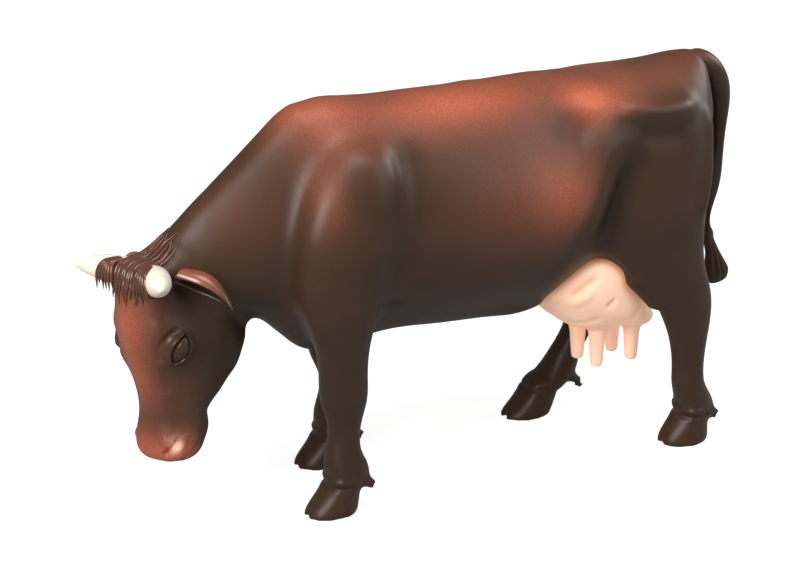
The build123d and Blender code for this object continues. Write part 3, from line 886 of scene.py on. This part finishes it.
head, rest = halves(clay.mesh, prism("neckCut", neckCut, cutting["neckReach"]))
headLeft, headRight = halves(head, block("headCut", headCut, headAxes, headPose["poll"]))
finishHide("headShellLeft", headLeft, "head_shell_left")
finishHide("headShellRight", headRight, "head_shell_right")
for place, corners in legCuts.items():
    inner, rest = halves(rest, block("legCut", corners))
    words = "".join(word.capitalize() for word in place.split("_"))
    finishHide(f"legInner{words}", inner, f"leg_inner_{place}")
bodyLeft, bodyRight = halves(rest, block("bodyCut", bodyCut))
finishHide("bodyShellLeft", bodyLeft, "body_shell_left")
finishHide("bodyShellRight", bodyRight, "body_shell_right")
print("hide pieces done")

# Hair: a fringe that falls between the horns, locks that run back along the nape, a tuft beside each horn
fringe = {
    "strands": 21, "spread": 8.4, "thick": 0.5, "red": 0.28, "taper": (1.15, 1.05, 3, 0.08),
    "sway": 0.6, "swayTurn": 2.4, "drop": 9.0, "dropTurn": 1.7, "sideDrop": 0.02,
    "lift": (0.1, 0.55, 0.3), "curl": 1.1, "curlRun": 1.5, "puffWay": (0, 0.75, 0.35),
    # share of the place across, share of the sway, forward, down, share of the drop
    "line": [(0.8, 0, 2.6, 1.4, 0), (0.88, 0, 5.6, 2.2, 0), (0.97, 0.4, 8.8, 0, 0.55), (1.04, 1, 10.4, 0, 1)],
}
nape = {
    "strands": 12, "spread": 6.5, "thick": 0.6, "lift": 0.1, "taper": (1.1, 1, 2, 0.1),
    "sway": 0.9, "swayTurn": 2.1, "unevenTurn": 1.3,
    # along, how uneven, share of the place across, share of the sway, up
    "line": [
        (-73.0, 0, 0.9, 0, 62.5), (-70.5, 0, 1, 0, 64.5),
        (-67.5, 0, 0.95, 1, 66.0), (-64.0, -1.5, 0.9, -1, 68.5),
    ],
}
tuft = {
    "strands": 10, "thick": 0.5, "taper": (1.15, 1.05, 3, 0.08), "span": 1.45, "inner": 0.45,
    "fuller": 0.45, "unevenTurn": 2.3,
    # out, share of the step, forward, share of the fullness, down, how uneven
    "line": [
        (5.0, 0.8, 5.2, 0, 1.7, 0), (5.6, 2.0, 7.5, 1, 2.0, 0), (5.6, 3.2, 8.8, 1, 4.4, 0),
        (5.5, 3.6, 9.2, 1, 7.0, 1),
    ],
}
strandSteps = 6


def strand(path, kind):
    # a path with its thickness at each point
    full, loss, power, least = kind["taper"]
    place = np.linspace(0, 1, len(path))
    return path, kind["thick"] * np.clip(full - place**power * loss, least, 1)


def acrossHead(index, kind):
    return (2 * index / (kind["strands"] - 1) - 1) * kind["spread"]


def fringeStrand(index, tree):
    across = acrossHead(index, fringe)
    sway = fringe["sway"] * math.sin(index * fringe["swayTurn"])
    drop = fringe["drop"] + math.sin(index * fringe["dropTurn"]) - fringe["sideDrop"] * across**2
    line = [
        onHead(share * across + swayShare * sway, ahead, below + dropShare * drop)
        for share, swayShare, ahead, below, dropShare in fringe["line"]
    ]
    path = onSkin(tree, curveThrough(line, strandSteps))
    place = np.clip(np.linspace(0, 1, len(path)) * fringe["curlRun"], 0, 1)
    puff = fringe["lift"][index % len(fringe["lift"])] + fringe["curl"] * np.sin(math.pi * place)
    return strand(path + puff[:, None] * (np.array(fringe["puffWay"]) @ headAxes), fringe)


def napeLock(index, tree):
    across = acrossHead(index, nape)
    sway = nape["sway"] * math.sin(index * nape["swayTurn"])
    uneven = math.sin(index * nape["unevenTurn"])
    line = [
        (x + unevenShare * uneven, share * across + swayShare * sway, z)
        for x, unevenShare, share, swayShare, z in nape["line"]
    ]
    return strand(onSkin(tree, curveThrough(line, strandSteps), nape["lift"]), nape)


def tuftStrand(index, side):
    step = tuft["span"] * index / (tuft["strands"] - 1) - tuft["inner"]
    fuller = tuft["fuller"] * (index % 2)
    uneven = math.sin(index * tuft["unevenTurn"])
    line = [
        (out + share * step, ahead + fullerShare * fuller, below + unevenShare * uneven)
        for out, share, ahead, fullerShare, below, unevenShare in tuft["line"]
    ]
    return strand(curveThrough(onHeadSide(side, line), strandSteps), tuft)


tree = clay.tree()
strands = [fringeStrand(index, tree) for index in range(fringe["strands"])]
strands += [napeLock(index, tree) for index in range(nape["strands"])]
strands += [tuftStrand(index, side) for side in sideSigns.values() for index in range(tuft["strands"])]
hair = tubes("pollHair", strands)
paint(hair)
writeValues(hair, {"red": np.full(len(hair.vertices), fringe["red"])})
dressed("pollHair", hair, [], hairCoat)
print("hair:", len(strands), "strands")

# Horns and ears: roots are out, forward and down on the head
horn = {
    "root": (6.3, 4.7, 4.8), "radii": [3.0, 3.2, 2.95, 2.0, 0.5], "steps": 10,
    "tipEnd": 1.012, "tipRound": 0.06,
    "line": [(-2.6, -1, -0.2), (0, 0, 0), (3.4, 1.9, 0.6), (6.6, 3.7, 1.1), (9.6, 5.5, 1.5)],
}
ear = {
    "root": (8.1, 0.1, 4.6), "lie": (0.774, -0.345, -0.531), "spread": (0.615, 0.345, 0.709),
    "length": 14.4, "thick": 0.6, "sag": 1.6, "grid": (40, 28),
    # place from root to tip, then the radius of the roll, and the angle that it turns to each side
    "radius": [(0, 1.8), (0.1, 2.1), (0.37, 2.6), (0.67, 1.9), (0.85, 1.2), (1, 0.25)],
    "roll": [(0, 2.6), (0.2, 2.35), (0.5, 2.2), (0.8, 1.9), (1, 1.5)],
    "red": 0.56, "tipLess": 0.46, "tipFrom": (0.4, 0.9), "redFacing": (-0.5, 0.5),
}
earRoot = np.array(ear["root"]) * downTurned
earLie = np.array(ear["lie"])
earSpread = np.array(ear["spread"])
earOver = np.cross(earLie, earSpread)


def hornTube(side):
    places = [(np.array(horn["root"]) * downTurned + np.array(step)) * (side, 1, 1) for step in horn["line"]]
    line = curveThrough([pollPlace + place @ headAxes for place in places], horn["steps"])
    place = np.linspace(0, 1, len(line))
    radii = np.interp(place, np.linspace(0, 1, len(horn["radii"])), horn["radii"])
    radii *= np.sqrt(np.clip((horn["tipEnd"] - place) / horn["tipRound"], 0, 1))
    return tubes("horn", [(line, radii)])


def earMiddle(u):
    # the line inside the rolled leaf, in the head's own axes (out, forward, up), for places from 0 to 1
    u = np.asarray(u, float)[..., None]
    return earRoot + earLie * ear["length"] * u + earOver * ear["sag"] * np.sin(math.pi * u)


def earLeaf(side):
    # a leaf rolled nearly shut, its slit towards the front and side
    bm = bmesh.new()
    bmesh.ops.create_grid(bm, x_segments=ear["grid"][0], y_segments=ear["grid"][1], size=1)
    radii, rolls = curveThrough(ear["radius"]).T, curveThrough(ear["roll"]).T
    for vert in bm.verts:
        u = (vert.co.x + 1) / 2
        turn = np.interp(u, *rolls) * vert.co.y
        away = earSpread * math.sin(turn) + earOver * math.cos(turn)
        local = (earMiddle(u) + away * np.interp(u, *radii)) * (side, 1, 1)
        vert.co = (pollPlace + local @ headAxes) * mm
    if side < 0:
        bmesh.ops.reverse_faces(bm, faces=bm.faces)
    leaf = evaluated(meshOf(bm, "leaf"), "SOLIDIFY", thickness=ear["thick"] * mm, offset=-1)
    return evaluated(leaf, "SUBSURF", levels=1, render_levels=1)


def earRed(leaf, side):
    # red on the outside of the roll, none inside it
    clay = Clay(leaf)
    local = headLocal(clay.co) * (side, 1, 1)
    facing = (clay.normals() @ headAxes.T) * (side, 1, 1)
    u = np.clip((local - earRoot) @ earLie / ear["length"], 0, 1)
    outer = (facing * (local - earMiddle(u))).sum(1) > 0
    amount = ear["red"] - ear["tipLess"] * smoothStep(*ear["tipFrom"], u)
    return outer * amount * smoothStep(*ear["redFacing"], facing @ earOver + facing @ earSpread)


for sideName, side in sideSigns.items():
    dressed(f"horn{sideName.capitalize()}", hornTube(side), [f"horn_{sideName}"], hornPlastic)
    leaf = earLeaf(side)
    paint(leaf)
    writeValues(leaf, {"red": earRed(leaf, side)})
    dressed(f"ear{sideName.capitalize()}", leaf, [f"ear_{sideName}"], hairCoat)
print("horns and ears done")

# Udder: folds between the quarters, a fuller rear, far teats moved, and painted shade in the folds and at the
# edge along the belly
udder = {
    "voxel": 0.35, "softRounds": 10, "evenRounds": 3,
    # painted shade in the folds, and at the edge where the udder meets the belly
    "hollow": 12, "edge": 0.85, "bellyEdgeShadeReach": (1.8, 0.2),
}
udderRear = {"at": 50, "reach": 8.0, "from": (33, 40), "rise": 5.0}
farTeats = {"from": (29, 25), "aside": 1, "inward": 2.0, "longer": 1.0}
udderStrokes = [
    drawn(1.0, -1.2, (29, 40.6), (31, 41.8), (33.5, 43.6), (36.5, 45.2)),
    drawn(1.4, 0.6, (29, 38.6), (32, 40.2), (35, 42.4)),
    drawn(1.2, -0.5, (33, 31), (35.5, 32.2), (38, 34.6)),
    drawn(0.7, -0.8, (38.2, 36.8), (39.4, 37.7), (40.6, 38.8)),
    drawn(1.5, -0.5, (45, 29), (48, 33), (50, 36)),
]
udderMiddle = drawn(1.6, -0.9, (30, 0, 31), (38, 0, 26), (46, 0, 25), (54, 0, 27))
udderClay = Clay(voxelCopy(udder["voxel"], "udder"))
udderClay.relax(udder["softRounds"])
x, y, z = udderClay.co.T
rise = bell((x - udderRear["at"]) / udderRear["reach"]) * smoothStep(*udderRear["from"], z)
moved = smoothStep(*farTeats["from"], z) * (y > farTeats["aside"])
z += udderRear["rise"] * rise - farTeats["longer"] * moved
y -= farTeats["inward"] * moved
tree = strokeSides(udderClay, udderStrokes)
udderClay.stroke(onSkin(tree, udderMiddle["line"]), udderMiddle["width"], udderMiddle["amount"])
udderClay.relax(udder["evenRounds"])
udderClay.write()
tree = clay.tree()
fromHide = np.array([tree.find_nearest(Vector(place))[3] for place in udderClay.co.tolist()])
# painted shade: darker in the folds, and near the belly where the udder meets the hide
writeValues(udderClay.mesh, {
    "hollow": np.clip(udderClay.curl() * udder["hollow"], 0, 1),
    "edge": udder["edge"] * smoothStep(*udder["bellyEdgeShadeReach"], fromHide),
})
dressed("udderMoulding", udderClay.mesh, ["udder"], udderPlastic)
print("udder done")

# Tail, with grooves that run down its switch
switch = {
    "voxel": 0.25, "softRounds": 8, "evenRounds": 1,
    "ridges": 11, "width": 0.45, "groove": 0.45, "taper": 0.15,
    "top": (78.5, 0, 46), "tip": (79.6, 0, 27.5), "tipLift": (0, 0, 2),
    "topOut": 2, "middleOut": 5, "tipOut": 4,
}
tailClay = Clay(voxelCopy(switch["voxel"], "tail"))
tailClay.relax(switch["softRounds"])
tree = tailClay.tree()
top, tip = np.array(switch["top"]), np.array(switch["tip"])
for index in range(switch["ridges"]):
    angle = 2 * math.pi * index / switch["ridges"]
    away = np.array([math.cos(angle), math.sin(angle), 0])
    line = [top + away * switch["topOut"], (top + tip) / 2 + away * switch["middleOut"]]
    line += [tip + away * switch["tipOut"] + switch["tipLift"]]
    tailClay.stroke(onSkin(tree, line), switch["width"], -switch["groove"], switch["taper"])
tailClay.relax(switch["evenRounds"])
tailClay.write()
paint(tailClay.mesh)
dressed("tailMoulding", tailClay.mesh, ["tail"], coat)
print("tail done")

# Camera at the photograph's angle
camera = {
    "azimuth": 28, "elevation": 21, "distance": 0.7, "target": (-0.00722, 0, 0.0438),
    "focalPixels": 3108, "imageWidth": 800, "sensor": 36, "clipStart": 0.01,
}


def aimed(name, data, place, way):
    # a camera or a lamp that looks along a way
    thing = bpy.data.objects.new(name, data)
    thing.location = place
    thing.rotation_mode = "QUATERNION"
    thing.rotation_quaternion = way.to_track_quat("-Z", "Y")
    bpy.context.scene.collection.objects.link(thing)
    return thing


azimuth, elevation = math.radians(camera["azimuth"]), math.radians(camera["elevation"])
level = math.cos(elevation)
back = Vector((-math.sin(azimuth) * level, -math.cos(azimuth) * level, math.sin(elevation)))
cameraData = bpy.data.cameras.new("camera")
cameraData.sensor_width = camera["sensor"]
cameraData.lens = camera["focalPixels"] / camera["imageWidth"] * camera["sensor"]
cameraData.clip_start = camera["clipStart"]
cameraPlace = Vector(camera["target"]) + back * camera["distance"]
bpy.context.scene.camera = aimed("camera", cameraData, cameraPlace, -back)

# Floor, world and soft studio lamps
studio = {
    "floor": 3, "grey": 0.3, "rough": 0.9, "glow": 0.88, "bounce": 0.12,
    "sky": 0.17, "aim": (0, 0, 0.05),
}
lamps = {
    "top": {"at": (-0.05, -0.25, 0.80), "size": 0.40, "energy": 3.4},
    "front": {"at": (-0.65, -0.35, 0.45), "size": 0.35, "energy": 5.9},
    "side": {"at": (0.55, -0.50, 0.50), "size": 0.55, "energy": 2.3},
    "rear": {"at": (0.75, 0.05, 0.32), "size": 0.30, "energy": 2.0},
}
white = (1, 1, 1, 1)
bm = bmesh.new()
bmesh.ops.create_grid(bm, x_segments=1, y_segments=1, size=studio["floor"])
floor = linked("floor", meshOf(bm, "floor"))
floorPaint, shader, surface = material("floor")
surface.inputs["Base Color"].default_value = (*[studio["grey"]] * 3, 1)
surface.inputs["Roughness"].default_value = studio["rough"]
surface.inputs["Specular IOR Level"].default_value = 0
surface.inputs["Emission Strength"].default_value = studio["glow"]
seenByCamera = shader.node("ShaderNodeLightPath", output="Is Camera Ray")
floorGlow = shader.mixed(seenByCamera, (*[studio["bounce"]] * 3, 1), white)
join(shader, surface, {"Emission Color": floorGlow})
floor.data.materials.append(floorPaint)
bpy.context.scene.view_settings.view_transform = "Standard"
world = bpy.data.worlds.new("studio")
bpy.context.scene.world = world
world.use_nodes = True
sky = world.node_tree.nodes["Background"]
sky.inputs["Color"].default_value = white
sky.inputs["Strength"].default_value = studio["sky"]
for name, lamp in lamps.items():
    light = bpy.data.lights.new(name, "AREA")
    light.size = lamp["size"]
    light.energy = lamp["energy"]
    aimed(name, light, lamp["at"], Vector(studio["aim"]) - Vector(lamp["at"]))
print("camera, floor and lamps done")
